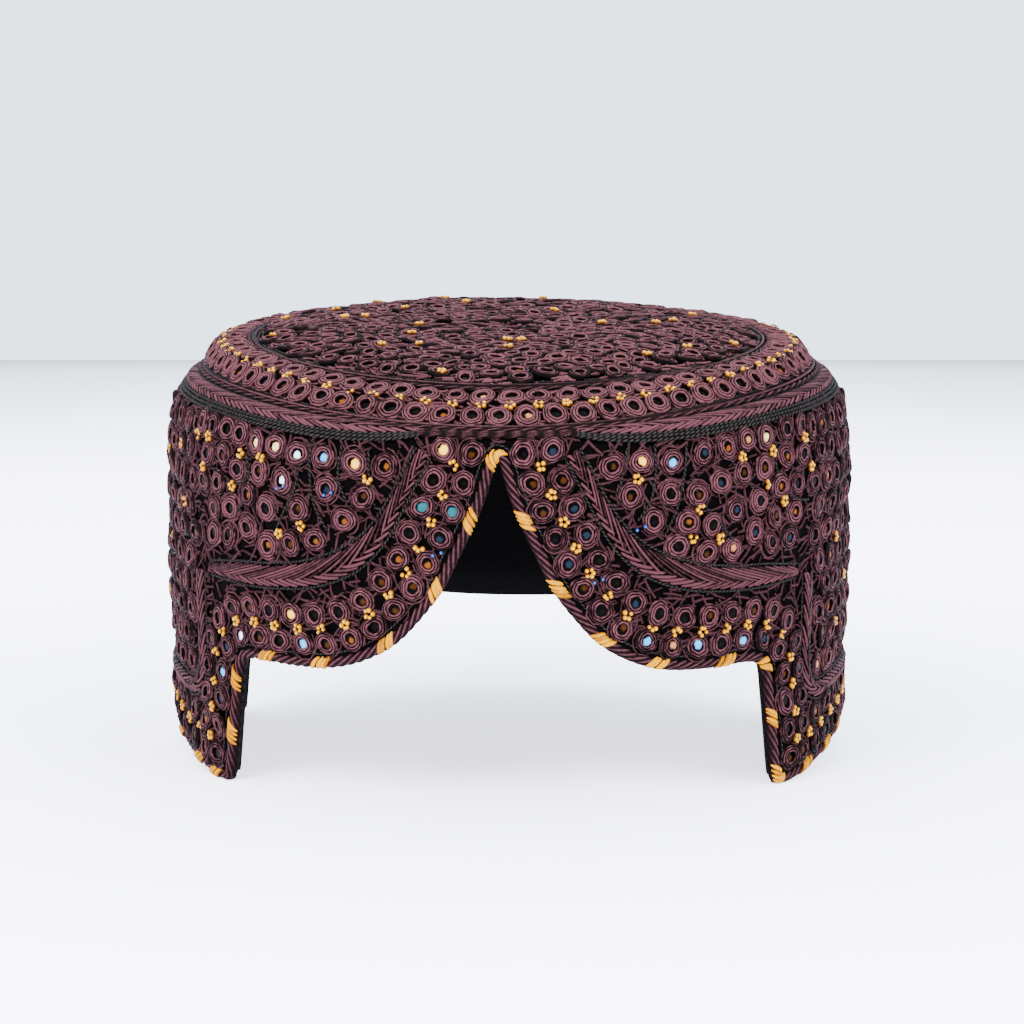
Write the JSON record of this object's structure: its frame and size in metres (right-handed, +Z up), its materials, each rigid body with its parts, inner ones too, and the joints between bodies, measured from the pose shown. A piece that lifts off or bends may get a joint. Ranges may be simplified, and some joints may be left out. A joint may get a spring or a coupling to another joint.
{
  "type": "sindhi cap",
  "caption": "Round embroidered cap with a low domed crown, a pointed front notch, long side flaps and mirror work.",
  "frame": {"origin": "on the ground under the middle of the cap, which stands on the four feet of its side flaps", "axes": "+Z up, -Y towards the front notch, +X to the right seen from the front"},
  "size_m": [0.1874, 0.1886, 0.1166],
  "materials": {
    "embroidered_cloth": "dark plum cotton, closely embroidered, matt",
    "lining_cloth": "thin black cotton lining, matt",
    "binding_thread": "rolled mauve silk thread binding with yellow satin patches, soft sheen",
    "plum_braid": "herringbone braid of plum silk thread, soft sheen",
    "pale_braid": "twisted braid of pale mauve silk thread, soft sheen",
    "mirror_and_ring": "small round mirror held in a ring of wound plum thread",
    "mirror_glass": "small round mirror glass, silvered, amber or blue tinted",
    "gold_bead": "small gold beads sewn in clusters of four or five",
    "black_cord": "fine charcoal and black cord couched between the mirrors",
    "yellow_thread": "yellow satin stitch over the binding"
  },
  "bodies": {
    "root": {"band": "embroidered_cloth", "crown": "embroidered_cloth", "lining": "lining_cloth", "hem_binding": "binding_thread", "crown_edge_braid": "pale_braid", "crown_circle_braid": "pale_braid", "back_braid": "plum_braid", "leaf_braid_left": "pale_braid", "lobe_braid_left": "plum_braid", "flap_braid_left": "plum_braid", "front_mirror_left_01": "mirror_and_ring", "front_mirror_left_02": "mirror_and_ring", "front_mirror_left_03": "mirror_and_ring", "front_mirror_left_04": "mirror_and_ring", "front_mirror_left_05": "mirror_and_ring", "front_mirror_left_06": "mirror_and_ring", "front_mirror_left_07": "mirror_and_ring", "front_mirror_left_08": "mirror_and_ring", "front_mirror_left_09": "mirror_and_ring", "front_mirror_left_10": "mirror_and_ring", "front_mirror_left_11": "mirror_and_ring", "front_mirror_left_12": "mirror_and_ring", "front_mirror_left_13": "mirror_and_ring", "front_mirror_left_14": "mirror_and_ring", "front_mirror_left_15": "mirror_and_ring", "front_mirror_left_16": "mirror_and_ring", "front_mirror_left_17": "mirror_and_ring", "leaf_braid_right": "pale_braid", "lobe_braid_right": "plum_braid", "flap_braid_right": "plum_braid", "front_mirror_right_01": "mirror_and_ring", "front_mirror_right_02": "mirror_and_ring", "front_mirror_right_03": "mirror_and_ring", "front_mirror_right_04": "mirror_and_ring", "front_mirror_right_05": "mirror_and_ring", "front_mirror_right_06": "mirror_and_ring", "front_mirror_right_07": "mirror_and_ring", "front_mirror_right_08": "mirror_and_ring", "front_mirror_right_09": "mirror_and_ring", "front_mirror_right_10": "mirror_and_ring", "front_mirror_right_11": "mirror_and_ring", "front_mirror_right_12": "mirror_and_ring", "front_mirror_right_13": "mirror_and_ring", "front_mirror_right_14": "mirror_and_ring", "front_mirror_right_15": "mirror_and_ring", "front_mirror_right_16": "mirror_and_ring", "front_mirror_right_17": "mirror_and_ring"}
  },
  "joints": []
}
